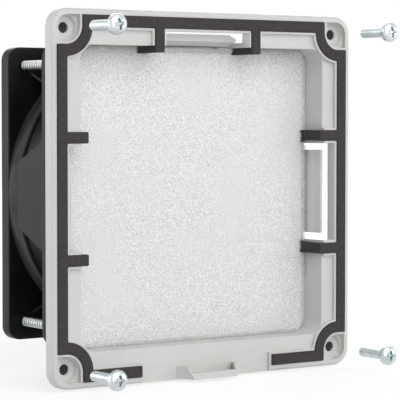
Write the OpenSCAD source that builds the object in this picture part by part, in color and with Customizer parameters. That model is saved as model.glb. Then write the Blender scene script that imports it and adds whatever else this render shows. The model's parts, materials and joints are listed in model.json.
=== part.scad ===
// Cabinet filter fan: a moulded frame for a panel cut-out, with a filter mat in its well,
// snap tongues and corner screws to hold it, and a square axial fan screwed on behind.
// +Y points into the cabinet, +Z up, origin on the flange's rear plane at the fan's axis.

/* [Flange] */
// How far the flange reaches past the fan on each side
flange_over = 13.5; // [13:0.25:18]
// Thickness of the flange plate
plate_t = 3.25; // [3:0.05:5]
// Height of the raised rim and lips over the plate
rim_h = 1.45; // [0.8:0.05:2]
// Outer corner radius of the flange
flange_r = 7.5; // [5:0.5:9]
// Rounding of the flange's front outer edge
edge_r = 1.2; // [0.6:0.1:1.4]
// Width of the plastic border outside the cover gasket
border_w = 2.4; // [2:0.1:3]
// Width of the lips that hold the gasket
lip_w = 1; // [0.6:0.1:1.2]

/* [Neck and filter well] */
// How far the filter well's walls lie inside the fan's outline
well_in = 0.2; // [0:0.1:1]
// Corner radius of the filter well
well_r = 6; // [4:0.5:9]
// Wall of the neck
neck_wall = 2; // [1.6:0.1:2.4]
// Depth of the neck behind the flange
neck_d = 19.5; // [18:0.5:30]
// Thickness of the neck's floor
floor_t = 2.5; // [2.3:0.1:4]
// How far the edge of the air opening lies inside the fan's outline
inlet_in = 4; // [3:0.5:10]
// Width of the rebate that holds the inlet grille
rebate_w = 2; // [1:0.1:2]
// Depth of the rebate that holds the inlet grille
rebate_d = 1.4; // [1:0.1:1.6]

/* [Cover gasket and panel seal] */
// Width of the gasket strip
strip_w = 4.5; // [3.5:0.1:5]
// Thickness of the gasket on the plate
gasket_t = 2.25; // [2.1:0.05:3]
// Thickness of the gasket tongues on the well's wall
tongue_t = 2.7; // [1.5:0.1:3.2]
// Width of the gasket tongues
tongue_w = 4.4; // [3:0.1:5]
// Spacing of the two gasket tongues of one side
tongue_pitch = 47.4; // [47:0.1:54]
// Width of the opening in the gasket at the bottom
gasket_gap = 64.4; // [50:0.2:80]
// Radius of the gasket's outer edge round each screw pocket
arc_r = 7.3; // [6.8:0.1:7.6]
// Distance of the panel seal from the flange's edge
seal_in = 1.8; // [1.4:0.1:2.4]
// Width of the panel seal
seal_w = 4.2; // [3:0.1:4.5]
// Thickness of the panel seal
seal_t = 2.5; // [1:0.1:3]
// Radius of the panel seal's lobes round the screws
seal_lobe = 5; // [4:0.1:5.5]

/* [Panel screws] */
// Distance of the panel screws from the flange's edges
screw_in = 7.5; // [7:0.1:8]
// Thread diameter of the panel screws
screw_d = 4; // [3:0.1:4.2]
// Length of the panel screws under the head
screw_l = 16; // [12:1:25]
// Diameter of the panel screws' heads
head_d = 8; // [7:0.1:8.2]
// Height of the panel screws' heads
head_h = 3.1; // [2.4:0.1:3.6]
// Diameter of the holes for the panel screws
hole_d = 4.3; // [4.3:0.1:4.6]
// Depth of the screw pockets below the plate's front
pocket_d = 0.75; // [0.4:0.05:0.9]
// Depth of the dished seat below the pocket's floor
dish_d = 1.5; // [0.6:0.05:1.7]
// Distance of the loose screws in front of their seats
screw_out = 37.1; // [20:0.1:45]

/* [Snap tongues] */
// Width of a snap tongue
snap_w = 35.2; // [24:0.2:38]
// Clear slot at each end of a snap tongue
snap_slot = 2.8; // [1.5:0.1:2.8]
// Height of the barb over the neck's outside
barb_h = 3.3; // [2:0.1:3.4]
// Distance of the barb's crest behind the flange
barb_y = 5.4; // [4.5:0.1:6.5]
// Thickness of the tongue's tip
tip_t = 1.15; // [0.8:0.05:1.4]
// Thickness of the tongue's stem
stem_t = 0.9; // [0.7:0.05:1]
// Distance of the tongue's root behind the flange
root_y = 13; // [12:0.1:14]
// Radius of the tongue's root bead
bead_r = 0.55; // [0.45:0.05:0.6]

/* [Filter mat] */
// Thickness of the filter mat
mat_t = 9.1; // [6:0.1:9.5]
// Clearance of the mat to the well's wall
mat_gap = 1.3; // [1.3:0.1:2]

/* [Inlet grille] */
// Spacing of the grille's rings
grille_step = 9.5; // [8:0.5:12]
// Width of the grille's bars
grille_bar = 1.6; // [1.2:0.1:2]
// Number of spokes
grille_spokes = 8; // [6:1:12]

/* [Fan housing] */
// Width and height of the fan
fan_w = 120; // [105:0.5:140]
// Depth of the fan
fan_d = 38; // [38:0.5:42]
// Thickness of the fan's flanges
fan_flange = 6; // [4:0.5:7]
// Corner radius of the fan's flanges
fan_r = 5.5; // [3:0.5:7]
// Distance of the fan's screw holes from its edges
fan_hole_in = 7.5; // [7:0.1:8]
// Diameter of the fan's screw holes
fan_hole = 4.5; // [4.3:0.1:5]
// Distance of the duct's bore from the fan's edges
duct_in = 3; // [2.5:0.1:4]
// Wall of the fan's duct
duct_wall = 1.7; // [1.4:0.1:2]
// Width of the collar in front of the rear flange
collar_w = 7.4; // [3:0.1:9]
// Width of the struts that carry the motor
strut_w = 6; // [4:0.5:9]
// Depth of the struts that carry the motor
strut_d = 4; // [3:0.5:5]
// Thickness of the corner gussets
gusset_t = 1.6; // [1:0.1:2.4]

/* [Impeller and motor] */
// Number of blades
blade_count = 7; // [5:1:9]
// Clearance of the blade tips in the duct
tip_gap = 0.9; // [0.6:0.1:1.5]
// Outside diameter of the impeller's hub
hub_d = 64; // [64:0.5:68]
// Wall of the impeller's hub
hub_wall = 1.6; // [1.4:0.1:2]
// Distance of the hub's nose behind the fan's front
nose_in = 4.5; // [4:0.1:5.5]
// Length of the impeller's hub
hub_l = 27; // [25:0.5:28]
// Chord of a blade at the hub
chord_hub = 25; // [18:0.5:27]
// Chord of a blade at the tip
chord_tip = 34; // [24:0.5:36]
// Pitch angle of a blade at the hub
pitch_hub = 46; // [38:1:50]
// Pitch angle of a blade at the tip
pitch_tip = 29; // [20:1:32]
// Air gap between the stator and the rotor ring
air_gap = 0.4; // [0.3:0.05:0.8]
// Wall of the rotor ring
rotor_wall = 3; // [2:0.1:4]
// Diameter of the motor shaft
shaft_d = 4; // [3:0.1:4.2]
// Outside diameter of the ball bearings
bearing_d = 13; // [12:0.1:14]
// Width of the ball bearings
bearing_w = 5; // [4:0.1:5]
// Height of the stator's core
core_l = 9; // [6:0.5:10]

/* [Fan fasteners and finger guard] */
// Thread diameter of the fan screws
fan_screw_d = 4; // [3.5:0.1:4.2]
// Width of the nuts across the flats
nut_w = 7; // [6.5:0.1:7.5]
// Height of the nuts
nut_h = 3.2; // [2.4:0.1:4]
// Diameter of the washers
washer_d = 9; // [8.5:0.1:10]
// Thickness of the washers
washer_t = 0.8; // [0.5:0.1:1.2]
// Diameter of the guard's wire
wire_d = 1.8; // [1.4:0.1:2.2]
// Spacing of the guard's rings
guard_step = 8.6; // [7.5:0.1:9]

/* [Terminals] */
// Width of a terminal tab
tab_w = 4.8; // [2.8:0.1:5]
// Thickness of a terminal tab
tab_t = 0.8; // [0.5:0.1:1]
// Free length of a terminal tab
tab_l = 8; // [6:0.5:9]

/* [Hidden] */
$fn = 48;

// Clearances
fit = 0.05;       // pieces pushed or laid into a seat of their own body
run = 0.08;       // a bead or ball that turns in its seat
foam_play = 0.1;  // a screw in the foam's hole
notch_play = 0.6; // the mat round a gasket tongue
cut = 1;          // how far a cut runs past the face that it opens

// Colours
frame_grey = [0.80, 0.80, 0.78];
foam_grey = [0.28, 0.26, 0.26];
mat_white = [0.93, 0.93, 0.92];
fan_black = [0.13, 0.13, 0.13];
zinc = [0.84, 0.86, 0.88];
steel = [0.62, 0.63, 0.65];
copper = [0.72, 0.42, 0.22];
nylon = [0.92, 0.90, 0.84];
brass = [0.80, 0.68, 0.38];

// Sizes that follow the fan's width
flange_w = fan_w + 2 * flange_over;
well_w = fan_w - 2 * well_in;
inlet_d = fan_w - 2 * inlet_in;
screw_pitch = flange_w - 2 * screw_in;
fan_pitch = fan_w - 2 * fan_hole_in;
duct_d = fan_w - 2 * duct_in;

// Planes along Y
plate_y = -plate_t;
rim_y = plate_y - rim_h;
gasket_y = plate_y - gasket_t;
pocket_y = plate_y + pocket_d;
seat_y = pocket_y + dish_d;
floor_y = neck_d - floor_t;
mat_y = floor_y - mat_t;
fan_end = neck_d + fan_d;
fan_gap0 = neck_d + fan_flange;
fan_gap1 = fan_end - fan_flange;

// Half widths and radii in the face
flange_half = flange_w / 2;
well_half = well_w / 2;
neck_half = well_half + neck_wall;
strip_out = flange_half - border_w;
strip_in = strip_out - strip_w;
lip_in = strip_in - lip_w;
arc_lap = 0.3;
arc_c = strip_in + arc_lap;
strip_end = arc_c - arc_r;
tongue_in = well_half - tongue_t;
window_half = snap_w / 2 + snap_slot;
catch_half = 10.7;
catch_foot = 14.8;
catch_h = 4.8;
catch_out = 7.3;
catch_wall = 1.7;
catch_bar = 3.2;
catch_ramp = 32;
catch_lift = 0.3;
bottom_half = gasket_gap / 2 - lip_w;
head_r = head_d / 2;
dish_play = 0.4;
dish_draft = 0.5;
dish_r = head_r + dish_play;
dish_rim = dish_r + dish_draft;

// Snap tongues
hinge_r = well_half + neck_wall / 2;
tip_y = 0.6;
tip_drop = 1.9;
tip_r = neck_half + barb_h - tip_drop;
crest_w = 0.6;
knee = 1.2;

// Fan and motor
duct_r = duct_d / 2;
flare = 2.4;
gusset_l = 9;
pad_front = 22;
pad_rear = 13.4;
pad_root = 0.9 * duct_r;
strut_turn = 20;
blade_r = duct_r - tip_gap;
hub_r = hub_d / 2;
nose_y = neck_d + nose_in;
nose_t = 2.2;
nose_edge = 3;
nose_step = 2;
boss_w = 3;
boss_draft = 0.6;
boss_gap = 1.2;
ring_short = 1;
hub_end = nose_y + hub_l;
rotor_out = hub_r - hub_wall;
rotor_in = rotor_out - rotor_wall;
core_r = rotor_in - air_gap;
base_t = 2.5;
base_y = fan_end - base_t;
base_step = 0.5;
base_r = hub_r - base_step;
shaft_r = shaft_d / 2;
bearing_r = bearing_d / 2;
race_t = (bearing_r - shaft_r) * 0.28;
ball_r = (bearing_r - shaft_r) / 2 - race_t - run / 2;
ball_ring = (bearing_r + shaft_r) / 2;
tube_wall = 1.8;
tube_r = bearing_r + fit + tube_wall;
tube_gap = 3.5;
tube_y = nose_y + nose_t + tube_gap;
stop_t = 1.1;
bearing_in = 0.6;
front_bearing_y = tube_y + bearing_in;
clip_room = 2.6;
rear_bearing_y = base_y - clip_room - bearing_w;
front_stop_y = front_bearing_y + bearing_w;
spring_h = 1.6;
rear_stop_y = rear_bearing_y - spring_h - stop_t;
clip_t = 0.6;
clip_gap = 0.1;
clip_y = rear_bearing_y + bearing_w + clip_gap;
clip_seat = shaft_r * 0.75;
clip_w = 1.1;
shaft_edge = 0.4;
shaft_short = 0.8;
shaft_end = base_y - shaft_short;
core_shift = 2;
core_y = (hub_end + nose_y + nose_t) / 2 - core_l / 2 + core_shift;
coil_over = 3.2;
bobbin_t = 0.6;
arm_w = 7;
yoke_w = 3.4;
yoke_r = tube_r + fit + yoke_w;
shoe_t = 2.6;
shoe_gap = 1.2;
coil_low = 0.3;
bobbin_in = yoke_r + fit;
bobbin_out = core_r - shoe_t - fit - shoe_gap;

// Fan fasteners
fan_at = fan_pitch / 2;
fan_screw_r = fan_screw_d / 2;
csk_h = 2.1;
csk_r = fan_screw_r + csk_h;
wire_r = wire_d / 2;
washer_y = fan_end + wire_d;
nut_y = washer_y + washer_t;
screw_over = 1.6;
screw_edge = 0.6;
csk_slot_l = csk_r * 1.1;
csk_slot_w = csk_r * 0.24;
fan_screw_end = nut_y + nut_h + screw_over;

// Shared shapes

// A face shape, drawn in X and Z, extruded from y0 to y1
module slab(y0, y1) {
    translate([0, y1, 0]) rotate([90, 0, 0]) linear_extrude(height = y1 - y0) children();
}

// A profile of radius and Y, turned about the Y axis
module spun() {
    rotate([-90, 0, 0]) rotate_extrude($fn = 96) children();
}

// A round bar along Y from radius r0 at y0 to radius r1 at y1
module bar(r0, y0, r1, y1) {
    translate([0, y0, 0]) rotate([-90, 0, 0]) cylinder(r1 = r0, r2 = r1, h = y1 - y0);
}

module rounded_square(w, r) {
    square([w, w - 2 * r], center = true);
    square([w - 2 * r, w], center = true);
    for (x = [-1, 1], z = [-1, 1])
        translate([x * (w / 2 - r), z * (w / 2 - r)]) circle(r);
}

// Puts a copy at each corner of a square with this half width
module corners(half) {
    for (x = [-1, 1], z = [-1, 1]) translate([x * half, 0, z * half]) children();
}

// The gasket's outline in the face, grown by g on every side
module gasket_outline(g) {
    arc_out = arc_r + strip_w + g;
    difference() {
        for (side = [0:90:270]) rotate(side) {
            translate([strip_in - g, -strip_end - g])
                square([strip_w + 2 * g, 2 * (strip_end + g)]);
            intersection() {
                translate([arc_c, arc_c]) difference() {
                    circle(arc_out);
                    circle(arc_r - g);
                }
                translate([arc_c - arc_out, arc_c - arc_out]) square(arc_out);
            }
        }
        translate([-gasket_gap / 2 + g, -flange_half]) square([gasket_gap - 2 * g, flange_half]);
    }
    for (side = [0, 90, 180], s = [-1, 1]) rotate(side)
        translate([tongue_in - g, s * tongue_pitch / 2 - tongue_w / 2 - g])
            square([strip_in - tongue_in + 2 * g, tongue_w + 2 * g]);
}

// Frame

// Section of a plate's border, from the front at y = 0 to the rear, its front outer edge rounded
module edge_section(w, e, t) {
    square([w - e, t]);
    translate([0, e]) square([w, t - e]);
    translate([w - e, e]) circle(e);
}

// A square plate whose front outer edge is rounded
module round_edged_plate(w, r, e, y0, y1) {
    middle = w / 2 - r;
    slab(y0, y1) square(2 * middle, center = true);
    for (side = [0:90:270]) rotate([0, side, 0]) {
        translate([middle, y0, 0]) linear_extrude(height = 2 * middle, center = true)
            edge_section(r, e, y1 - y0);
        translate([middle, y0, -middle]) rotate([-90, 0, 0]) rotate_extrude(angle = 90)
            edge_section(r, e, y1 - y0);
    }
}

// One corner's pocket in the face: round towards the middle, square towards the corner
module pocket_outline() {
    r = arc_r - lip_w;
    reach = strip_out - arc_c;
    intersection() {
        union() {
            translate([arc_c, arc_c]) circle(r);
            translate([arc_c - r, arc_c]) square([r + reach, reach]);
            translate([arc_c, arc_c - r]) square([reach, r + reach]);
        }
        rounded_square(2 * strip_out, flange_r - border_w);
    }
}

// What is cut down from the rim's height to the plate: the ledge, the gasket's groove
// and the opening over the catch
module ledge_outline() {
    difference() {
        square(2 * lip_in, center = true);
        gasket_outline(lip_w);
    }
    gasket_outline(fit);
    translate([-bottom_half, -flange_half - cut]) square([2 * bottom_half, flange_half]);
}

// Windows over the snap tongues, through the flange and on through the neck's wall
module snap_window() {
    translate([well_half - cut, rim_y - cut, -window_half])
        cube([lip_in - well_half + cut, cut - rim_y, 2 * window_half]);
    translate([well_half - cut, -cut, -window_half])
        cube([neck_wall + 2 * cut, root_y + cut, 2 * window_half]);
    translate([hinge_r, root_y, 0]) cylinder(r = bead_r + run, h = 2 * window_half, center = true);
}

// Catch for the cover: a tapered stirrup on the plate at the bottom, its front leaning back
module cover_catch() {
    bottom = catch_lift - flange_half;
    front = plate_y - catch_out;
    taper = (catch_foot - catch_half) * catch_bar / catch_out;
    inner_half = catch_half + taper - catch_wall;
    translate([0, 0, bottom]) difference() {
        linear_extrude(height = catch_h) polygon([[-catch_foot, plate_y], [-catch_half, front],
            [catch_half, front], [catch_foot, plate_y]]);
        translate([0, 0, catch_wall]) linear_extrude(height = catch_h)
            polygon([[catch_wall - catch_foot, plate_y], [-inner_half, front + catch_bar],
                [inner_half, front + catch_bar], [catch_foot - catch_wall, plate_y]]);
        // the front bar is lower than the two arms
        translate([-inner_half, front - cut, catch_h / 2])
            cube([2 * inner_half, catch_bar + 2 * cut, catch_h]);
        // the ramp that the cover's hook slides up
        translate([-catch_foot, front, 0]) rotate([-catch_ramp, 0, 0]) translate([0, -catch_h, -cut])
            cube([2 * catch_foot, catch_h, 2 * catch_h]);
    }
}

module frame() {
    color(frame_grey) difference() {
        union() {
            difference() {
                round_edged_plate(flange_w, flange_r, edge_r, rim_y, 0);
                slab(rim_y - cut, plate_y) ledge_outline();
                for (side = [0:90:270]) rotate([0, side, 0])
                    slab(rim_y - cut, pocket_y) pocket_outline();
            }
            slab(-plate_t / 2, neck_d) rounded_square(2 * neck_half, well_r + neck_wall);
            cover_catch();
        }
        slab(rim_y - cut, floor_y) rounded_square(well_w, well_r);
        bar(inlet_d / 2, floor_y - cut, inlet_d / 2, neck_d + cut);
        bar(inlet_d / 2 + rebate_w, neck_d - rebate_d, inlet_d / 2 + rebate_w, neck_d + cut);
        for (turn = [0, -90, 180]) rotate([0, turn, 0]) snap_window();
        corners(screw_pitch / 2) {
            bar(hole_d / 2, seat_y - cut, hole_d / 2, cut);
            bar(dish_rim, pocket_y, dish_r, seat_y);
        }
        corners(fan_at) {
            bar(fan_hole / 2, floor_y - cut, fan_hole / 2, neck_d + cut);
            bar(csk_r + fit, floor_y, fan_screw_r + fit, floor_y + csk_h);
        }
    }
}

// Seals and mat

module cover_gasket() {
    color(foam_grey) {
        slab(gasket_y, plate_y) gasket_outline(0);
        // the tongues fold over the ledge and run down the well's wall to the floor
        for (turn = [0, -90, 180], s = [-1, 1]) rotate([0, turn, 0])
            translate([tongue_in, plate_y, s * tongue_pitch / 2 - tongue_w / 2])
                cube([tongue_t, floor_y - plate_y, tongue_w]);
    }
}

// A strip round the panel's cut-out, with a lobe round each screw
module panel_seal() {
    outer = flange_half - seal_in;
    hole = screw_d / 2 + foam_play;
    color(foam_grey) difference() {
        union() {
            slab(0, seal_t) difference() {
                rounded_square(2 * outer, flange_r - seal_in);
                rounded_square(2 * (outer - seal_w), well_r);
            }
            corners(screw_pitch / 2) bar(seal_lobe, 0, seal_lobe, seal_t);
        }
        corners(screw_pitch / 2) bar(hole, -cut, hole, seal_t + cut);
    }
}

module filter_mat() {
    half = well_half - mat_gap;
    notch = half - tongue_in + notch_play;
    notch_w = tongue_w + 2 * notch_play;
    color(mat_white) slab(mat_y, floor_y) difference() {
        rounded_square(2 * half, well_r - mat_gap);
        for (side = [0, 90, 180], s = [-1, 1]) rotate(side)
            translate([half - notch, s * tongue_pitch / 2 - notch_w / 2])
                square([notch + cut, notch_w]);
    }
}

module inlet_grille() {
    rim_r = inlet_d / 2 + rebate_w - fit;
    color(fan_black) slab(neck_d - rebate_d, neck_d) {
        difference() {
            circle(rim_r, $fn = 96);
            circle(inlet_d / 2 - grille_bar, $fn = 96);
        }
        for (r = [grille_step:grille_step:inlet_d / 2 - grille_step / 2]) difference() {
            circle(r + grille_bar / 2, $fn = 96);
            circle(r - grille_bar / 2, $fn = 96);
        }
        for (k = [0:grille_spokes - 1]) rotate((k + 0.5) * 360 / grille_spokes)
            translate([grille_step, -grille_bar / 2])
                square([inlet_d / 2 - grille_step - grille_bar / 2, grille_bar]);
    }
}

// Snap tongues

// The tongue of the right side: a stem from the root bead, a barb with a clamping slope
// towards the flange and a lead-in slope towards the cabinet
module snap_tongue() {
    stem_in = hinge_r - stem_t / 2;
    stem_out = hinge_r + stem_t / 2;
    crest = neck_half + barb_h;
    color(frame_grey) {
        linear_extrude(height = snap_w, center = true) polygon([
            [stem_in, root_y], [stem_in, barb_y + knee], [tip_r - tip_t - crest_w, barb_y - 1.5 * knee],
            [tip_r - tip_t, tip_y], [tip_r, tip_y],
            [crest, barb_y - crest_w / 2], [crest, barb_y + crest_w / 2],
            [stem_out, root_y - knee], [stem_out, root_y]]);
        translate([hinge_r, root_y, 0]) cylinder(r = bead_r, h = snap_w, center = true);
    }
}

module snap_tongue_right() { snap_tongue(); }
module snap_tongue_top() { rotate([0, -90, 0]) snap_tongue(); }
module snap_tongue_left() { rotate([0, 180, 0]) snap_tongue(); }

// Panel screws

// A pan-head screw with a cross recess, drawn loose in front of its hole
module panel_screw(x, z) {
    under = seat_y - screw_out;
    dome = head_h * 0.35;
    dome_r = (head_r * head_r + dome * dome) / (2 * dome);
    shank = screw_d / 2;
    point = shank * 0.6;
    slot_l = head_r * 1.1;
    slot_w = head_r * 0.26;
    color(zinc) translate([x * screw_pitch / 2, 0, z * screw_pitch / 2]) difference() {
        union() {
            spun() intersection() {
                translate([0, under - head_h]) square([head_r, head_h]);
                translate([0, under - head_h + dome_r]) circle(dome_r, $fn = 128);
            }
            bar(shank, under - fit, shank, under + screw_l - point);
            bar(shank, under + screw_l - point, point, under + screw_l);
        }
        for (a = [0, 90]) rotate([0, a, 0])
            translate([-slot_l / 2, under - head_h - cut, -slot_w / 2])
                cube([slot_l, cut + head_h * 0.6, slot_w]);
    }
}

module panel_screw_top_left() { panel_screw(-1, 1); }
module panel_screw_top_right() { panel_screw(1, 1); }
module panel_screw_bottom_left() { panel_screw(-1, -1); }
module panel_screw_bottom_right() { panel_screw(1, -1); }

// Fan housing

module fan_flange_plate(y0, y1) {
    slab(y0, y1) difference() {
        rounded_square(fan_w, fan_r);
        circle(duct_r, $fn = 128);
        for (x = [-1, 1], z = [-1, 1]) translate([x * fan_at, z * fan_at]) circle(fan_hole / 2);
    }
}

// Diagonal web from the duct to a flange's corner
module gusset(from_y, reach_y) {
    r0 = duct_r + duct_wall / 2;
    r1 = fan_at * sqrt(2) - fan_hole;
    for (turn = [45:90:315]) rotate([0, turn, 0]) linear_extrude(height = gusset_t, center = true)
        polygon([[r0, from_y], [r1, from_y], [r0, reach_y]]);
}

// Flat pad on the middle of each side, level with the collar, narrower towards it
module side_pads() {
    rear = fan_gap1 - collar_w + fit;
    for (side = [0:90:270]) rotate([0, side, 0]) translate([pad_root, 0, 0]) rotate([90, 0, 90])
        linear_extrude(height = fan_w / 2 - fit - pad_root)
            polygon([[fan_gap0 - fit, -pad_front], [fan_gap0 - fit, pad_front],
                [rear, pad_rear], [rear, -pad_rear]]);
}

module fan_housing() {
    color(fan_black) {
        difference() {
            union() {
                fan_flange_plate(neck_d, fan_gap0);
                fan_flange_plate(fan_gap1, fan_end);
                bar(duct_r + duct_wall, neck_d, duct_r + duct_wall, fan_end);
                bar(fan_w / 2 - fit, fan_gap1 - collar_w, fan_w / 2 - fit, fan_gap1);
                side_pads();
                gusset(fan_gap0 - fit, fan_gap0 + gusset_l);
                gusset(fan_gap1 + fit, fan_gap1 - gusset_l);
            }
            bar(duct_r, neck_d - cut, duct_r, fan_end + cut);
            bar(duct_r + flare, neck_d, duct_r, neck_d + 2 * flare);
            bar(duct_r, fan_end - flare, duct_r + flare / 2, fan_end);
        }
        difference() {
            union() {
                bar(base_r, base_y, base_r, fan_end);
                bar(tube_r, tube_y, tube_r, base_y);
                for (turn = [strut_turn:90:strut_turn + 270]) rotate([0, turn, 0])
                    translate([base_r - cut, fan_end - strut_d, -strut_w / 2])
                        cube([duct_r + duct_wall / 2 - base_r + cut, strut_d, strut_w]);
            }
            bar(bearing_r + fit, tube_y - cut, bearing_r + fit, front_stop_y);
            bar(ball_ring, front_stop_y - cut, ball_ring, rear_stop_y + stop_t + cut);
            bar(bearing_r + fit, rear_stop_y + stop_t, bearing_r + fit, base_y);
        }
    }
}

// Rotor

// A blade as a loft of cambered sections, each wrapped on the cylinder of its radius.
// Every section runs along its upper side from the leading edge and back along the lower.
blade_stations = 6;
blade_steps = 9;
blade_thick = 2;

function mix(a, b, t) = a + (b - a) * t;
function section_point(r, chord, pitch, sweep, u, side) =
    let (arch = 0.07 * chord * (1 - 4 * u * u),
        half_t = side * blade_thick / 2 * (0.12 + 0.88 * (1 - pow(2 * abs(u), 2.5))),
        lift = arch + half_t,
        along = u * chord * cos(pitch) - lift * sin(pitch),
        deep = u * chord * sin(pitch) + lift * cos(pitch),
        angle = sweep + along / r * 180 / PI)
    [r * cos(angle), nose_y + hub_l / 2 + deep, r * sin(angle)];
function section(t) =
    let (r = mix(hub_r - 0.6, blade_r, t),
        chord = mix(chord_hub, chord_tip, t),
        pitch = mix(pitch_hub, pitch_tip, sqrt(t)),
        sweep = 14 * t * t)
    [for (k = [0:2 * blade_steps - 1])
        let (side = k < blade_steps ? 1 : -1,
            step = k < blade_steps ? k : 2 * blade_steps - 1 - k)
        section_point(r, chord, pitch, sweep, step / (blade_steps - 1) - 0.5, side)];

module blade() {
    ring = 2 * blade_steps;
    points = [for (k = [0:blade_stations - 1]) each section(k / (blade_stations - 1))];
    skin = [for (k = [0:blade_stations - 2], j = [0:ring - 1])
        let (a = k * ring + j, b = k * ring + (j + 1) % ring)
        each [[a, b + ring, b], [a, a + ring, b + ring]]];
    root = [for (j = [0:blade_steps - 2]) each
        [[j, j + 1, ring - 1 - j], [j + 1, ring - 2 - j, ring - 1 - j]]];
    last = (blade_stations - 1) * ring;
    tip = [for (f = root) [f[2] + last, f[1] + last, f[0] + last]];
    polyhedron(points, concat(skin, root, tip));
}

module impeller() {
    color(fan_black) {
        difference() {
            union() {
                spun() polygon([[0, nose_y], [hub_r - nose_edge, nose_y], [hub_r, nose_y + nose_edge],
                    [hub_r, hub_end], [rotor_out, hub_end], [rotor_out, nose_y + nose_t + nose_step],
                    [rotor_out - nose_step, nose_y + nose_t], [0, nose_y + nose_t]]);
                bar(shaft_r + boss_w, nose_y + nose_t / 2, shaft_r + boss_w - boss_draft, tube_y - boss_gap);
            }
            bar(shaft_r + fit / 2, nose_y + nose_t / 2, shaft_r + fit / 2, tube_y);
        }
        for (k = [0:blade_count - 1]) rotate([0, k * 360 / blade_count, 0]) blade();
    }
}

module rotor_ring() {
    front = nose_y + nose_t + nose_step;
    color(steel) spun() translate([rotor_in, front])
        square([rotor_out - fit - rotor_in, hub_end - ring_short - front]);
}

module rotor_shaft() {
    front = nose_y + nose_t / 2 + fit;
    groove_end = clip_y + clip_t + clip_gap;
    color(steel) spun() polygon([[0, front], [shaft_r, front],
        [shaft_r, clip_y], [clip_seat, clip_y], [clip_seat, groove_end], [shaft_r, groove_end],
        [shaft_r, shaft_end - shaft_edge], [shaft_r - shaft_edge, shaft_end], [0, shaft_end]]);
}

// Puts a copy at the front face of each bearing
module at_bearings() {
    for (y = [front_bearing_y, rear_bearing_y]) translate([0, y, 0]) children();
}

// Half groove of a race, for the balls
module ball_track() {
    translate([ball_ring, bearing_w / 2]) circle(ball_r + run);
}

module bearing_inner_rings() {
    color(steel) at_bearings() spun() difference() {
        translate([shaft_r + fit / 2, 0]) square([race_t, bearing_w]);
        ball_track();
    }
}

module bearing_outer_rings() {
    color(steel) at_bearings() spun() difference() {
        translate([bearing_r - race_t, 0]) square([race_t, bearing_w]);
        ball_track();
    }
}

module bearing_balls() {
    count = 7;
    color(zinc) at_bearings() for (k = [0:count - 1]) rotate([0, k * 360 / count, 0])
        translate([ball_ring, bearing_w / 2, 0]) sphere(ball_r);
}

module shaft_clip() {
    mouth = shaft_r * 1.2;
    color(steel) slab(clip_y + fit, clip_y + clip_t) difference() {
        circle(shaft_r + clip_w);
        circle(clip_seat + fit);
        translate([0, -mouth / 2]) square([2 * shaft_r, mouth]);
    }
}

// A wavy spring washer between the tube's stop and the rear bearing's outer ring
module preload_spring() {
    waves = 3;
    steps = 48;
    margin = 0.2;
    inner = ball_ring + margin;
    outer = bearing_r - margin;
    sheet = 0.3;
    middle = rear_bearing_y - spring_h / 2;
    swing = (spring_h - sheet) / 2 - fit;
    points = [for (k = [0:steps - 1])
        let (a = k * 360 / steps, y = middle + swing * cos(waves * a))
        each [for (c = [[inner, -1], [outer, -1], [outer, 1], [inner, 1]])
            [c[0] * cos(a), y + c[1] * sheet / 2, c[0] * sin(a)]]];
    faces = [for (k = [0:steps - 1], j = [0:3])
        let (a = 4 * k + j, b = 4 * k + (j + 1) % 4,
            c = 4 * ((k + 1) % steps) + (j + 1) % 4, d = 4 * ((k + 1) % steps) + j)
        each [[a, c, b], [a, d, c]]];
    color(steel) polyhedron(points, faces);
}

// Stator

module stator_core() {
    color(steel) slab(core_y, core_y + core_l) difference() {
        union() {
            circle(yoke_r);
            for (turn = [0:90:270]) rotate(turn) {
                translate([0, -arm_w / 2]) square([core_r - shoe_t / 2, arm_w]);
                intersection() {
                    difference() {
                        circle(core_r, $fn = 96);
                        circle(core_r - shoe_t, $fn = 96);
                    }
                    polygon([[0, 0], [2 * core_r, -1.5 * core_r], [2 * core_r, 1.5 * core_r]]);
                }
            }
        }
        circle(tube_r + fit);
    }
}

// A sleeve round one arm of the core, from radius r0 to r1 and from the arm outwards to grow
module arm_sleeve(r0, r1, inner, grow) {
    outer = inner + grow;
    translate([r0, core_y - outer, -arm_w / 2 - outer]) difference() {
        cube([r1 - r0, core_l + 2 * outer, arm_w + 2 * outer]);
        translate([-cut, grow, grow])
            cube([r1 - r0 + 2 * cut, core_l + 2 * inner, arm_w + 2 * inner]);
    }
}

module coil_bobbins() {
    color(nylon) for (turn = [0:90:270]) rotate([0, turn, 0]) {
        arm_sleeve(bobbin_in, bobbin_out, fit, bobbin_t);
        arm_sleeve(bobbin_in, bobbin_in + bobbin_t, fit, coil_over);
        arm_sleeve(bobbin_out - bobbin_t, bobbin_out, fit, coil_over);
    }
}

module stator_coils() {
    end = bobbin_t + fit;
    color(copper) for (turn = [0:90:270]) rotate([0, turn, 0])
        arm_sleeve(bobbin_in + end, bobbin_out - end, end + fit, coil_over - bobbin_t - coil_low);
}

// Fan fasteners, guard and terminals

module fan_screws() {
    color(zinc) corners(fan_at) difference() {
        union() {
            bar(csk_r, floor_y, fan_screw_r, floor_y + csk_h);
            bar(fan_screw_r, floor_y + csk_h - fit, fan_screw_r, fan_screw_end - screw_edge);
            bar(fan_screw_r, fan_screw_end - screw_edge, fan_screw_r - screw_edge, fan_screw_end);
        }
        for (a = [0, 90]) rotate([0, a, 0])
            translate([-csk_slot_l / 2, floor_y - cut, -csk_slot_w / 2])
                cube([csk_slot_l, cut + csk_h * 0.6, csk_slot_w]);
    }
}

module fan_washers() {
    color(zinc) corners(fan_at) slab(washer_y, washer_y + washer_t) difference() {
        circle(washer_d / 2);
        circle(fan_screw_r + fit);
    }
}

module fan_nuts() {
    color(zinc) corners(fan_at) slab(nut_y, nut_y + nut_h) difference() {
        circle(nut_w / sqrt(3), $fn = 6);
        circle(fan_screw_r + fit);
    }
}

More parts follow.
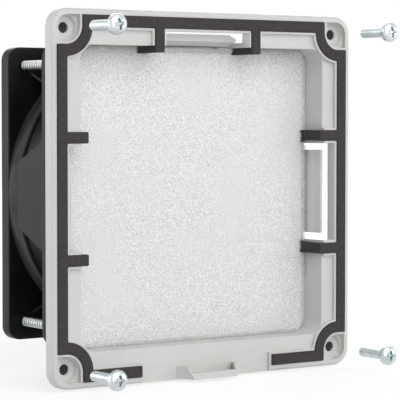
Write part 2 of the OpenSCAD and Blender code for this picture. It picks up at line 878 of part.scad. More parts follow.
// Wire finger guard: four arms on the fan's rear face, each bent round a screw, and rings on them
module finger_guard() {
    loop_play = 0.3;
    edge_gap = 2;
    loop_r = fan_screw_r + wire_r + loop_play;
    arm_y = fan_end + wire_r;
    ring_y = arm_y + wire_d * 0.85;
    reach = fan_at * sqrt(2) - loop_r;
    rings = floor((duct_r - edge_gap) / guard_step);
    color(zinc) {
        for (k = [1:rings]) spun() translate([k * guard_step, ring_y]) circle(wire_r);
        for (turn = [45:90:315]) rotate([0, turn, 0]) {
            translate([guard_step - wire_r, arm_y, 0]) rotate([0, 90, 0])
                cylinder(r = wire_r, h = reach - guard_step + wire_r);
            translate([fan_at * sqrt(2), arm_y, 0]) spun() translate([loop_r, 0]) circle(wire_r);
        }
    }
}

// Terminal block in the lower right corner, on the rear flange, between its edge and the collar
block_w = 7;
block_l = 13;
block_h = 8;
block_edge = 2;
block_gap = 0.5;
tab_step = 6.4;
block_x0 = fan_w / 2 - block_edge - block_w;
block_x = block_x0 + block_w / 2;
block_z = -sqrt(pow(fan_w / 2 + block_gap, 2) - block_x0 * block_x0) - block_l / 2;

module terminal_block() {
    color(fan_black) difference() {
        translate([block_x - block_w / 2, fan_gap1 - block_h, block_z - block_l / 2])
            cube([block_w, block_h, block_l]);
        for (s = [-1, 1]) tab(s, fit);
    }
}

// One tab of the terminal block, grown by g
module tab(s, g) {
    end = fan_gap1 - block_h - tab_l;
    at = block_z + s * tab_step / 2;
    translate([block_x - tab_t / 2 - g, end, at - tab_w / 2 - g])
        cube([tab_t + 2 * g, tab_l + block_h / 2 + g, tab_w + 2 * g]);
}

module terminal_tabs() {
    color(brass) for (s = [-1, 1]) tab(s, 0);
}

frame();
cover_gasket();
panel_seal();
filter_mat();
inlet_grille();
snap_tongue_left();
snap_tongue_right();
snap_tongue_top();
panel_screw_top_left();
panel_screw_top_right();
panel_screw_bottom_left();
panel_screw_bottom_right();
fan_housing();
fan_screws();
fan_washers();
fan_nuts();
finger_guard();
impeller();
rotor_ring();
rotor_shaft();
bearing_inner_rings();
shaft_clip();
bearing_outer_rings();
bearing_balls();
preload_spring();
stator_core();
coil_bobbins();
stator_coils();
terminal_block();
terminal_tabs();
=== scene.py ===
import bpy
import bmesh
import json
import math
import numpy as np
from mathutils import Matrix, Vector


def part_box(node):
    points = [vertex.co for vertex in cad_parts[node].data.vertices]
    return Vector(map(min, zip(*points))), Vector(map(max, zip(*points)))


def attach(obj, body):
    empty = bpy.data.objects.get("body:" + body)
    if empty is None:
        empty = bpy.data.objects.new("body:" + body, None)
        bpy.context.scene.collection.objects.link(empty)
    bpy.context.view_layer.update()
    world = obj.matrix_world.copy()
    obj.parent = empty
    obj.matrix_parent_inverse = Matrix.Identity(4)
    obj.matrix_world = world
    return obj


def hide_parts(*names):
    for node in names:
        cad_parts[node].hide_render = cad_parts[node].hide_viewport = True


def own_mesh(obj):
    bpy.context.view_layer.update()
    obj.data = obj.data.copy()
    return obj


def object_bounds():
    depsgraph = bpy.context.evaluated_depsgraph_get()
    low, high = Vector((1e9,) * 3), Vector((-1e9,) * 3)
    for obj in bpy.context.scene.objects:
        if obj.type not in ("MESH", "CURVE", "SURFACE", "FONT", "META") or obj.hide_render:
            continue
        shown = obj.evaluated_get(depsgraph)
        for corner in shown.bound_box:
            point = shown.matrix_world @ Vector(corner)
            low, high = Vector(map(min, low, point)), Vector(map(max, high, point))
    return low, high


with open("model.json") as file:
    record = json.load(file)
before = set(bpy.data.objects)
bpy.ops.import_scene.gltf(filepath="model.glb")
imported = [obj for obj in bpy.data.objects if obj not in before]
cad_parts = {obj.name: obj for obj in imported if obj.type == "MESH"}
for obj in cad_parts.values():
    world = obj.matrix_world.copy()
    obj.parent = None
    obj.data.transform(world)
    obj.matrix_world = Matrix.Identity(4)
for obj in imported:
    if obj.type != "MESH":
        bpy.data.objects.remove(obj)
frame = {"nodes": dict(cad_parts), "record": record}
cadLow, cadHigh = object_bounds()

mm = 0.001
rng = np.random.default_rng(5)
quarter = np.linspace(0, np.pi / 2, 5)  # angles along a rounded edge
axisGap = 0.01  # radius in mm at which a turned surface ends at its axis


def boxOf(node):
    low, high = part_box(node)
    return np.array(low), np.array(high)


# Mesh helpers

def roundAngles(count):
    return np.linspace(0, 2 * np.pi, count, endpoint=False)


def gridFaces(nu, nv, wrapU=False, wrapV=False):
    # quads of a grid of nu by nv points, numbered row by row
    iu = np.arange(nu if wrapU else nu - 1)
    iv = np.arange(nv if wrapV else nv - 1)
    a, b = np.meshgrid(iu, iv, indexing="ij")
    c, d = (a + 1) % nu, (b + 1) % nv
    return np.stack([a * nv + b, c * nv + b, c * nv + d, a * nv + d], -1).reshape(-1, 4)


def cappedFaces(nu, nv):
    # the quads of a closed section carried along a line, and a face at each end
    faces = [tuple(f) for f in gridFaces(nu, nv, wrapV=True)]
    return faces + [tuple(range(nv)), tuple(range((nu - 1) * nv, nu * nv))]


def joinParts(parts):
    # stacks (points, faces) pairs into one pair
    points, faces, start = [], [], 0
    for p, f in parts:
        points.append(p.reshape(-1, 3))
        faces.append(f + start)
        start += points[-1].shape[0]
    return np.concatenate(points), np.concatenate(faces)


def polar(r, angle, y):
    # points at a radius and an angle about the axis Y
    return np.stack(np.broadcast_arrays(r * np.cos(angle), y, r * np.sin(angle)), -1)


def spun(points, turn):
    # points turned about the axis Y
    c, s = math.cos(turn), math.sin(turn)
    x, z = points[..., 0], points[..., 2]
    return np.stack([x * c + z * s, points[..., 1], z * c - x * s], -1)


def placed(name, data):
    # a new object in the scene
    obj = bpy.data.objects.new(name, data)
    bpy.context.scene.collection.objects.link(obj)
    return obj


weld = {"same": 1e-7, "flat": 1e-8}  # distances in metres below which points and edges merge


def makePiece(name, points, faces, body, slot, material=None, sharp=35, outward=True):
    mesh = bpy.data.meshes.new(name)
    mesh.from_pydata(points.reshape(-1, 3), [], faces)
    if outward:
        # closes seams and poles, then turns the faces outwards
        bm = bmesh.new()
        bm.from_mesh(mesh)
        bmesh.ops.remove_doubles(bm, verts=bm.verts, dist=weld["same"])
        bmesh.ops.dissolve_degenerate(bm, dist=weld["flat"], edges=bm.edges)
        bmesh.ops.recalc_face_normals(bm, faces=bm.faces)
        bm.to_mesh(mesh)
        bm.free()
    mesh.shade_smooth()
    if sharp:
        mesh.set_sharp_from_angle(angle=math.radians(sharp))
    mesh.materials.append(material or slotMaterials[slot])
    piece = placed(name, mesh)
    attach(piece, body)
    return piece


def turned(profile, count, closed=False):
    # carries a profile of (radius, y) round the axis Y
    a = roundAngles(count)[:, None]
    points = polar(profile[:, 0], a, profile[:, 1])
    return points, gridFaces(count, profile.shape[0], wrapU=True, wrapV=closed)


def sweptTube(path, radius, sides, closed=False):
    # carries a circle along a path, upright to the path's tangent
    step = np.roll(path, -1, 0) - np.roll(path, 1, 0)
    if not closed:
        step[0] = path[1] - path[0]
        step[-1] = path[-1] - path[-2]
    step /= np.linalg.norm(step, axis=1, keepdims=True)
    side = np.cross(step, np.array([0, 1.0, 0]))
    side /= np.linalg.norm(side, axis=1, keepdims=True)
    other = np.cross(side, step)
    a = roundAngles(sides)[None, :, None]
    ring = np.cos(a) * side[:, None, :] + np.sin(a) * other[:, None, :]
    points = path[:, None, :] + radius * ring
    if closed:
        return points, gridFaces(len(path), sides, wrapU=True, wrapV=True)
    # round ends: four more rings each, which close on the path's line
    t = quarter[1:, None, None]
    ends = []
    for k, way in ((0, -1), (-1, 1)):
        cap = path[k] + radius * (np.cos(t) * ring[k][None] + way * np.sin(t) * step[k])
        ends.append(cap[::-1] if way < 0 else cap)
    points = np.concatenate([ends[0], points, ends[1]])
    return points, gridFaces(points.shape[0], sides, wrapV=True)


def latticeNoise(u, v, seed, size=256):
    # smooth noise from -1 to 1: random values on a unit lattice, blended by a cubic step
    table = np.random.default_rng(seed).uniform(-1, 1, (size, size))
    iu, iv = np.floor(u).astype(int), np.floor(v).astype(int)
    fu, fv = u - iu, v - iv
    su, sv = fu * fu * (3 - 2 * fu), fv * fv * (3 - 2 * fv)
    corner = [table[(iu + a) % size, (iv + b) % size] for a in (0, 1) for b in (0, 1)]
    low = corner[0] * (1 - sv) + corner[1] * sv
    high = corner[2] * (1 - sv) + corner[3] * sv
    return low * (1 - su) + high * su


# Material helpers

def setInputs(node, inputs):
    # links sockets and sets values
    for socket, value in inputs.items():
        if isinstance(value, bpy.types.NodeSocket):
            node.id_data.links.new(value, node.inputs[socket])
        else:
            node.inputs[socket].default_value = value


def addNode(near, kind, inputs, **settings):
    # a new node in the same tree as another node or socket
    node = near.id_data.nodes.new("ShaderNode" + kind)
    for key, value in settings.items():
        setattr(node, key, value)
    setInputs(node, inputs)
    return node


def newMaterial(name):
    material = bpy.data.materials.new(name)
    material.use_nodes = True
    shader = material.node_tree.nodes["Principled BSDF"]
    return material, shader, addNode(shader, "TexCoord", {}).outputs["Object"]


def noiseNode(place, scale, detail, rough=0.55):
    inputs = {"Scale": scale, "Detail": detail, "Roughness": rough, "Vector": place}
    return addNode(place, "TexNoise", inputs).outputs["Fac"]


def cellNode(place, scale):
    return addNode(place, "TexVoronoi", {"Scale": scale, "Vector": place}).outputs["Distance"]


def rampNode(value, stops):
    node = addNode(value, "ValToRGB", {"Fac": value})
    elements = node.color_ramp.elements
    for element, (at, colour) in zip(elements, (stops[0], stops[-1])):
        element.position, element.color = at, (*colour, 1)
    for at, colour in stops[1:-1]:
        elements.new(at).color = (*colour, 1)
    return node.outputs["Color"]


def rangeNode(value, low, high, fromLow=0.3, fromHigh=0.7):
    inputs = {"Value": value, "From Min": fromLow, "From Max": fromHigh, "To Min": low,
              "To Max": high}
    return addNode(value, "MapRange", inputs).outputs["Result"]


def mathNode(operation, *values):
    return addNode(values[0], "Math", dict(enumerate(values)), operation=operation).outputs[0]


def scaledColour(colour, factor):
    inputs = {0: colour, "Scale": factor}
    return addNode(colour, "VectorMath", inputs, operation="SCALE").outputs["Vector"]


def axesNode(place):
    return addNode(place, "SeparateXYZ", {0: place}).outputs


def bumpNode(shader, height, strength, distance, under=None):
    inputs = {"Height": height, "Strength": strength, "Distance": distance}
    if under:
        inputs["Normal"] = under
    normal = addNode(height, "Bump", inputs).outputs["Normal"]
    setInputs(shader, {"Normal": normal})
    return normal


def grey(v, tint=(1, 1, 1)):
    return tuple(v * t for t in tint)


def framePlasticMaterial():
    # light grey moulded plastic: faint flow shade, spark-eroded grain, even satin
    material, shader, place = newMaterial("framePlastic")
    shade = noiseNode(place, scale=28, detail=2)
    grain = noiseNode(place, scale=2400, detail=2)
    tint = (0.995, 1.0, 0.965)
    colour = rampNode(shade, [(0.3, grey(0.590, tint)), (0.7, grey(0.625, tint))])
    setInputs(shader, {"Base Color": colour, "Roughness": rangeNode(grain, 0.40, 0.52),
                       "Specular IOR Level": 0.4})
    bumpNode(shader, grain, strength=0.10, distance=0.06 * mm)
    return material


def gasketFoamMaterial():
    # dark foam: closed cells with thin bright walls, matt
    material, shader, place = newMaterial("gasketFoam")
    cells, pores = cellNode(place, scale=1500), cellNode(place, scale=3600)
    stops = [(0.10, (0.040, 0.036, 0.035)), (0.45, (0.048, 0.044, 0.042)),
             (0.8, (0.062, 0.056, 0.054))]
    colour = rampNode(cells, stops)
    rough = rangeNode(pores, 0.72, 0.95, 0.1, 0.6)
    setInputs(shader, {"Base Color": colour, "Roughness": rough, "Specular IOR Level": 0.22})
    first = bumpNode(shader, cells, strength=0.35, distance=0.10 * mm)
    bumpNode(shader, pores, strength=0.25, distance=0.05 * mm, under=first)
    return material


# where the mat's painted edge shade begins and is full, its round corners, what tufts shift it by,
# its growth
fleeceLook = {"edge": (47 * mm, 62.7 * mm), "corner": 12 * mm, "ragged": 6 * mm,
              "fall": ((0.0, 0.0), (0.5, 0.18), (0.8, 0.57), (1.0, 1.0))}


def fleeceMaterial(name, low, high, edgeShade):
    # white fibre: fine speckle, soft sheen, no gloss
    # painted shade: it is greyer towards the cut edge, standing in for the shade that the walls
    # round the mat cast there
    material, shader, place = newMaterial(name)
    speckle = noiseNode(place, scale=4200, detail=1, rough=0.5)
    tuft = noiseNode(place, scale=1300, detail=2)
    colour = rampNode(speckle, [(0.40, grey(low)), (0.60, grey(high))])
    across, along = (mathNode("ABSOLUTE", axesNode(place)[axis]) for axis in "XZ")
    reach = mathNode("SMOOTH_MAX", across, along, fleeceLook["corner"])
    ragged = mathNode("MULTIPLY_ADD", tuft, fleeceLook["ragged"], reach)
    edge = rangeNode(ragged, 0.0, 1.0, *fleeceLook["edge"])
    # painted shade near the edge, multiplied into the fibre colour
    paintedEdgeShade = rampNode(edge, [(share, grey(1 - part * (1 - edgeShade)))
                           for share, part in fleeceLook["fall"]])
    setInputs(shader, {"Base Color": scaledColour(colour, paintedEdgeShade), "Sheen Weight": 0.15,
                       "Roughness": rangeNode(speckle, 0.85, 1.0), "Specular IOR Level": 0.1})
    bumpNode(shader, speckle, strength=0.5, distance=0.15 * mm)
    return material


# the fan's collar in front of its rear flange, in mm: a band whose colour is lifted and made matt,
# painted light standing in for the light that falls on the collar
fanCollar = {"radius": 59.7, "reach": 0.7, "width": 7.4, "flange": 6.0, "paintedCollarLight": 9.0,
             "gloss": (0.18, 0.0)}


def fanPaintMaterial():
    # black satin paint over a casting, with a fine orange peel
    material, shader, place = newMaterial("fanPaint")
    peel = noiseNode(place, scale=950, detail=2)
    dust = noiseNode(place, scale=60, detail=4)
    colour = rampNode(dust, [(0.3, grey(0.006)), (0.75, grey(0.011))])
    # painted light: one on the collar's outer face, told by distance from the fan's axis and by
    # depth, where the colour is lifted as if lit
    x, y, z = axesNode(place)
    square = mathNode("MULTIPLY_ADD", z, z, mathNode("MULTIPLY", x, x))
    half = fanCollar["width"] * mm / 2
    middle = boxOf("fan_housing")[1][1] - fanCollar["flange"] * mm - half
    outside = mathNode("COMPARE", mathNode("SQRT", square), fanCollar["radius"] * mm,
                       fanCollar["reach"] * mm)
    level = mathNode("COMPARE", y, middle, half)
    onCollar = mathNode("MULTIPLY", outside, level)
    paintedCollarLight = mathNode("MULTIPLY_ADD", onCollar, fanCollar["paintedCollarLight"], 1.0)
    gloss = rangeNode(onCollar, *fanCollar["gloss"], 0.0, 1.0)
    setInputs(shader, {"Base Color": scaledColour(colour, paintedCollarLight), "Specular IOR Level": gloss,
                       "Roughness": rangeNode(dust, 0.34, 0.46)})
    bumpNode(shader, peel, strength=0.08, distance=0.1 * mm)
    return material


def cloudyMaterial(name, scale, low, high, rough, bump=None, metal=0.0, paintedGrooveShade=None):
    # a cloudy tone with fine marks, and painted shade that darkens hollows where asked for
    material, shader, place = newMaterial(name)
    cloud = noiseNode(place, scale, detail=3)
    colour = rampNode(cloud, [(0.3, low), (0.7, high)])
    if paintedGrooveShade:
        darkest, fromLow, fromHigh = paintedGrooveShade
        # painted shade: ambient occlusion darkens the colour in threads and recesses, where shade
        # falls
        hollow = addNode(place, "AmbientOcclusion", {"Distance": 2 * mm}, samples=12)
        depth = rangeNode(hollow.outputs["AO"], darkest, 1.0, fromLow, fromHigh)
        colour = scaledColour(colour, depth)
    setInputs(shader, {"Base Color": colour, "Roughness": rangeNode(cloud, *rough),
                       "Metallic": metal})
    if bump:
        markScale, strength, distance = bump
        bumpNode(shader, noiseNode(place, markScale, detail=2), strength, distance)
    return material


def platedMetal(name, low, high, rough, paintedGrooveShade=None):
    return cloudyMaterial(name, 240, low, high, rough, (4200, 0.05, 0.03 * mm), 1.0, paintedGrooveShade)


def windingMaterial():
    # copper wire: fine bands across the coil
    material, shader, place = newMaterial("coilCopper")
    bands = addNode(place, "TexWave", {"Scale": 900, "Vector": place}).outputs["Fac"]
    colour = rampNode(bands, [(0.1, (0.30, 0.10, 0.03)), (0.9, (0.62, 0.27, 0.10))])
    setInputs(shader, {"Base Color": colour, "Metallic": 0.8, "Roughness": 0.35})
    bumpNode(shader, bands, strength=0.4, distance=0.1 * mm)
    return material


slotMaterials = {
    "frame_plastic": framePlasticMaterial(),
    "gasket_foam": gasketFoamMaterial(),
    "filter_fleece": fleeceMaterial("filterFleece", low=0.53, high=0.96, edgeShade=0.86),
    "fan_paint": fanPaintMaterial(),
    "fan_plastic": cloudyMaterial("fanPlastic", 45, grey(0.012), grey(0.018), (0.30, 0.44),
                                  bump=(3000, 0.06, 0.05 * mm)),
    # the plated parts get a light painted shade in their recesses
    "zinc_plate": platedMetal("zincPlate", (0.50, 0.56, 0.58), (0.64, 0.69, 0.70), (0.22, 0.34),
                              paintedGrooveShade=(0.8, 0.2, 0.6)),
    "guard_chrome": platedMetal("guardChrome", (0.68, 0.69, 0.70), (0.80, 0.80, 0.81),
                                (0.12, 0.22)),
    "motor_steel": platedMetal("motorSteel", (0.38, 0.39, 0.41), (0.52, 0.53, 0.55), (0.30, 0.45)),
    "bobbin_nylon": cloudyMaterial("bobbinNylon", 120, (0.74, 0.70, 0.60), (0.82, 0.79, 0.70),
                                   (0.40, 0.55)),
    "coil_copper": windingMaterial(),
    "tab_brass": platedMetal("tabBrass", (0.55, 0.42, 0.18), (0.68, 0.53, 0.26), (0.25, 0.38)),
}
fleeceFibre = fleeceMaterial("filterFibre", low=0.76, high=0.97, edgeShade=0.96)
# the thread gets a strong painted shade in its hollows
zincThread = platedMetal("zincThread", (0.58, 0.62, 0.63), (0.70, 0.73, 0.74), (0.24, 0.36),
                         paintedGrooveShade=(0.03, 0.55, 0.9))
for part in frame["record"]["subparts"]:
    mesh = frame["nodes"][part["node"]].data
    mesh.materials.clear()
    mesh.materials.append(slotMaterials[part["material_slot"]])
print("materials set:", len(slotMaterials))


# Moulded and foam pieces: the frame's own shapes with their edges eased

easedPieces = {
    # node: (piece, body, slot, edge radius in mm, least angle that counts as an edge)
    "frame": ("frameMoulding", "housing", "frame_plastic", 0.28, 38),
    **{"snap_tongue_" + side: ("snapTongue" + side.title(), "snap_" + side, "frame_plastic",
                               0.2, 20) for side in ("left", "right", "top")},
    "cover_gasket": ("coverGasket", "housing", "gasket_foam", 0.5, 38),
    "panel_seal": ("panelSeal", "housing", "gasket_foam", 0.4, 38),
    "terminal_block": ("terminalBlock", "housing", "fan_plastic", 0.3, 38),
}
easing = {"same": 2e-6, "flat": 0.4, "segments": 3}


def easedCopy(node, piece, body, slot, radius, angle):
    # merges the copy's loose triangles, joins flat ones and bevels what is left of the edges
    mesh = frame["nodes"][node].data.copy()
    bm = bmesh.new()
    bm.from_mesh(mesh)
    bmesh.ops.remove_doubles(bm, verts=bm.verts, dist=easing["same"])
    bmesh.ops.dissolve_limit(bm, angle_limit=math.radians(easing["flat"]), verts=bm.verts,
                             edges=bm.edges)
    bm.to_mesh(mesh)
    bm.free()
    mesh.name = piece
    mesh.shade_smooth()
    mesh.set_sharp_from_angle(angle=math.radians(angle))
    obj = placed(piece, mesh)
    bevel = obj.modifiers.new("easedEdges", "BEVEL")
    bevel.width = radius * mm
    bevel.segments = easing["segments"]
    bevel.limit_method = "ANGLE"
    bevel.angle_limit = math.radians(angle)
    bevel.harden_normals = True
    bevel.miter_outer = "MITER_ARC"
    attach(obj, body)
    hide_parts(node)


for node, settings in easedPieces.items():
    easedCopy(node, *settings)
print("eased pieces:", len(easedPieces))


# Filter mat: a fibre pad with a soft rolled edge, notched round the gasket's tongues

matLow, matHigh = boxOf("filter_mat")
fleece = {
    # counts of points and rows; eye and rim are shares of the reach
    "around": 720, "across": 100, "sideRows": 13, "rearRows": 16, "eye": 0.004, "rim": 0.998,
    # half widths: of the pad, of its front at the snap tongues' windows, and at the notches
    "half": 59.72 * mm, "windowHalf": 58.6 * mm, "notchHalf": 57.0 * mm,
    "windowReach": 20.6 * mm, "notchAt": 23.7 * mm, "notchReach": 2.3 * mm, "corner": 6.0 * mm,
    # from a flank to either of its two points, and their least angle to an even step
    "flank": 0.06 * mm, "apart": 0.0012,
    # the face's depth behind its solid's front, the rolled edge, and where the side is full again
    "front": 0.3 * mm, "roll": 1.0 * mm, "rollDrop": 0.1 * mm, "swell": 0.4,
    # wavelength and height of each layer of noise
    "layers": ((21 * mm, 0.10 * mm), (1.0 * mm, 0.010 * mm)), "seed": 11, "shift": 40,
}
fibre = {
    # one in each cell of a square grid, and more at the edge
    "across": 124, "atEdge": 6400, "points": 5, "length": (0.7 * mm, 1.8 * mm),
    "width": 0.09 * mm, "tilt": 0.02 * mm, "bend": 0.9, "clear": 0.03 * mm, "margin": 1.2 * mm,
    # most rise on the face, and at the edge the distance from the pad's side, in plain mm
    "rise": 0.14, "edgeBand": (0.1, 1.6), "edgeRise": 1.5 * mm, "inset": 0.05 * mm,
    # least step of the edge that counts as a window, and room there for the bent snap tongue
    "windowStep": 0.1 * mm, "swing": 0.8 * mm,
}


def squareReach(angle, half, corner):
    # distance to a square with round corners: a straight side or the corner's circle on each ray
    a, b = np.abs(np.cos(angle)), np.abs(np.sin(angle))
    k = half - corner
    flat = half / np.maximum(a, b)
    square = k * k * (a + b) ** 2 - 2 * k * k + corner * corner
    bend = k * (a + b) + np.sqrt(np.maximum(square, 0))
    return np.where(flat * np.minimum(a, b) <= k, flat, bend)


def fleeceAngles():
    # even steps, with two close points at each flank of a notch and of a window
    even = np.linspace(-np.pi, np.pi, fleece["around"], endpoint=False)
    at, reach, near = fleece["notchAt"], fleece["notchReach"], fleece["flank"]
    extra = [math.atan2(way * flank + shift, fleece["half"]) + side
             for flank in (at - reach, at + reach, fleece["windowReach"])
             for way in (-1, 1) for shift in (-near, near) for side in (0, math.pi / 2, math.pi)]
    extra = (np.array(extra) + np.pi) % (2 * np.pi) - np.pi
    far = np.abs(even[:, None] - extra).min(1) > fleece["apart"]
    return np.sort(np.concatenate([even[far], extra]))


def fleeceEdge(angle, windows):
    # distance of the edge from the middle: a square with round corners, less the notches
    # and, on the front, less the windows of the snap tongues; the bottom side has neither
    c, s = np.abs(np.cos(angle)), np.abs(np.sin(angle))
    along = fleece["half"] * np.minimum(c, s) / np.maximum(c, s)
    cutSide = ~((np.sin(angle) < 0) & (s > c))
    half = fleece["half"] + 0 * angle
    if windows:
        half = np.where(cutSide & (along < fleece["windowReach"]), fleece["windowHalf"], half)
    notched = cutSide & (np.abs(along - fleece["notchAt"]) < fleece["notchReach"])
    half = np.where(notched, fleece["notchHalf"], half)
    return squareReach(angle, half, fleece["corner"])


def fleeceHeight(x, z):
    total = 0 * x
    for k, (length, height) in enumerate(fleece["layers"]):
        u, v = x / length + fleece["shift"], z / length + fleece["shift"]
        total = total + height * latticeNoise(u, v, fleece["seed"] + k)
    return total


def makeFleece():
    front, back = matLow[1], matHigh[1]
    angle = fleeceAngles()
    edge, full = fleeceEdge(angle, True), fleeceEdge(angle, False)
    v = np.append(np.linspace(fleece["eye"], fleece["rim"], fleece["across"]), 1.0)
    reach = v * edge[:, None]
    c, s = np.cos(angle)[:, None], np.sin(angle)[:, None]
    inset = edge[:, None] - reach
    drop = np.clip(1 - inset / fleece["roll"], 0, 1) ** 2 * fleece["rollDrop"]
    y = front + fleece["front"] + drop - fleeceHeight(reach * c, reach * s)
    # rows down the side, where the edge swells out to the wall, and back to the middle
    w = np.linspace(0, 1, fleece["sideRows"])[1:]
    side = edge[:, None] + (full - edge)[:, None] * np.clip(w / fleece["swell"], 0, 1)
    sideY = y[:, -1:] + (back - y[:, -1:]) * w
    rear = full[:, None] * np.linspace(1, fleece["eye"], fleece["rearRows"])[1:]
    radius = np.concatenate([reach, side, rear], 1)
    level = np.concatenate([y, sideY, back + 0 * rear], 1)
    points = np.stack([radius * c, level, radius * s], -1)
    count, rows = points.shape[:2]
    faces = [tuple(f) for f in gridFaces(count, rows, wrapU=True)]
    # the two small rings in the middle are closed by a point each
    flat = points.reshape(-1, 3)
    poles = np.stack([points[:, 0].mean(0), points[:, -1].mean(0)])
    n = flat.shape[0]
    pairs = [(k, (k + 1) % count) for k in range(count)]
    faces += [(a * rows, n, b * rows) for a, b in pairs]
    faces += [(b * rows + rows - 1, n + 1, a * rows + rows - 1) for a, b in pairs]
    pad = makePiece("filterFleece", np.concatenate([flat, poles]), faces, "filter",
                    "filter_fleece", sharp=0)
    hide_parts("filter_mat")


def ribbonMesh(x, y, z, heading):
    # two edges, half a width to either side of each fibre's middle line
    nx, nz = -np.sin(heading), np.cos(heading)
    half, n = fibre["width"] / 2, fibre["points"]
    left = np.stack([x + nx * half, y, z + nz * half], -1)
    right = np.stack([x - nx * half, y - fibre["tilt"], z - nz * half], -1)
    points = np.stack([left, right], 2).reshape(-1, 3)
    base = (np.arange(x.shape[0]) * 2 * n)[:, None] + np.arange(n - 1) * 2
    return points, np.stack([base, base + 1, base + 3, base + 2], -1).reshape(-1, 4)


def fibrePaths(count):
    # headings along bent fibres, the step from point to point, and an even arch
    t = np.linspace(-0.5, 0.5, fibre["points"])
    turn = rng.uniform(0, 2 * np.pi, count)[:, None]
    heading = turn + rng.normal(0, fibre["bend"], count)[:, None] * t
    step = (rng.uniform(*fibre["length"], count) / fibre["points"])[:, None]
    return heading, step, 1 - 2 * np.abs(t)


def makeFibres():
    # short bent ribbons that lie on the pad
    n, limit = fibre["across"], fleece["windowHalf"] - fibre["margin"]
    count = n * n + fibre["atEdge"]
    cx, cz = rng.uniform(-limit, limit, (2, count))
    cell = np.arange(n * n)
    cx[:n * n] = limit * (2 * (cell % n + rng.uniform(0, 1, n * n)) / n - 1)
    cz[:n * n] = limit * (2 * (cell // n + rng.uniform(0, 1, n * n)) / n - 1)
    # the last ones stand close to the edge, on any side, and rise along the wall
    last = np.arange(n * n, count)
    near = fleece["half"] - rng.uniform(*fibre["edgeBand"], last.size) * mm
    sign = np.where(rng.uniform(0, 1, last.size) < 0.5, -1, 1)
    upright = rng.uniform(0, 1, last.size) < 0.5
    cx[last] = np.where(upright, near * sign, cx[last])
    cz[last] = np.where(upright, cz[last], near * sign)
    heading, step, arch = fibrePaths(count)
    dx, dz = np.cumsum(np.cos(heading), 1) * step, np.cumsum(np.sin(heading), 1) * step
    x = cx[:, None] + dx - dx.mean(1, keepdims=True)
    z = cz[:, None] + dz - dz.mean(1, keepdims=True)
    # drawn back along its ray where a fibre would pass the pad's edge or meet a bent snap tongue
    ray, angle = np.hypot(x, z), np.arctan2(z, x)
    edge = fleeceEdge(angle, True)
    windowed = edge < fleeceEdge(angle, False) - fibre["windowStep"]
    edge = np.where(windowed, edge - fibre["swing"], edge) - fibre["inset"]
    pull = np.minimum(1, edge / ray)
    x, z = x * pull, z * pull
    rise = rng.uniform(0.0, fibre["rise"], count) * mm
    rise[last] = rng.beta(1, 2, last.size) * fibre["edgeRise"]
    y = matLow[1] + fleece["front"] - fleeceHeight(x, z) - fibre["clear"] - rise[:, None] * arch
    points, faces = ribbonMesh(x, y, z, heading)
    makePiece("filterFibres", points, faces, "filter", "filter_fleece", fleeceFibre, sharp=0,
              outward=False)


# Brows of the mat: soft edge strips at the windows of the snap tongues

brow = {
    "root": 58.45 * mm, "nose": 59.72 * mm, "front": 0.38 * mm, "thick": 3.2 * mm,
    "reach": 20.5 * mm, "rows": 100, "steps": 17, "blunt": 0.4, "pressed": 0.05,
    "anchor": 57.8 * mm, "waver": 0.06 * mm, "wave": 0.8 * mm, "seed": 31, "shift": 60,
    "row": 0.5, "fibres": 700, "fibreEnd": 60.05 * mm, "rise": 1.2 * mm,
}


def browFibres():
    # bent ribbons that stand up from the strip, seen along the window and outwards from the pad
    count, root, nose, reach = (brow[key] for key in ("fibres", "root", "nose", "reach"))
    heading, step, arch = fibrePaths(count)
    u = rng.uniform(-1, 1, count)[:, None] * reach
    u = np.clip(u + np.cumsum(np.cos(heading) * step, 1) - 2 * step, -reach, reach)
    out = rng.uniform(root, nose, count)[:, None] + np.cumsum(np.sin(heading) * step, 1)
    out = np.clip(out, root, brow["fibreEnd"])
    lift = (rng.beta(1, 2, count) * brow["rise"])[:, None] * arch
    points, faces = ribbonMesh(u, matLow[1] + brow["front"] - lift, out, heading)
    return points[:, 0], points[:, 1], points[:, 2], faces


def makeBrows():
    # half of a blunt oval, carried along the window, with a little noise on its nose
    middle = matLow[1] + brow["front"] + brow["thick"] / 2
    t = np.linspace(-np.pi / 2, np.pi / 2, brow["steps"])
    u = np.linspace(-brow["reach"], brow["reach"], brow["rows"])[:, None]
    noise = latticeNoise(u / brow["wave"] + brow["shift"], 0 * u + brow["row"], brow["seed"])
    depth = brow["nose"] - brow["root"] - brow["waver"] * (1 + noise)
    out = brow["root"] + depth * np.cos(t) ** brow["blunt"]
    y = middle + brow["thick"] / 2 * np.sin(t) + 0 * u
    along = u + 0 * t
    faces = cappedFaces(u.size, t.size)
    for label, way in (("Top", (0, 0, 1)), ("Right", (1, 0, 0)), ("Left", (-1, 0, 0))):
        fu, fy, fout, ribbons = browFibres()
        for name, a, level, b, mesh, material, closed in (
                ("fleeceBrow", along, y, out, faces, None, True),
                ("browFibres", fu, fy, fout, ribbons, fleeceFibre, False)):
            # the window's length lies along X at the top and along Z at the sides
            x, z = a * abs(way[2]) + b * way[0], a * abs(way[0]) + b * way[2]
            points = np.stack([x, level, z], -1)
            piece = makePiece(name + label, points, mesh, "filter", "filter_fleece", material,
                              sharp=60 if closed else 0, outward=closed)
            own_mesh(piece)


makeFleece()
makeFibres()
makeBrows()
print("filter mat made with", fibre["across"] ** 2 + fibre["atEdge"], "fibres")


# Screws: one surface from the tip's middle, along the thread, round the head and into the recess

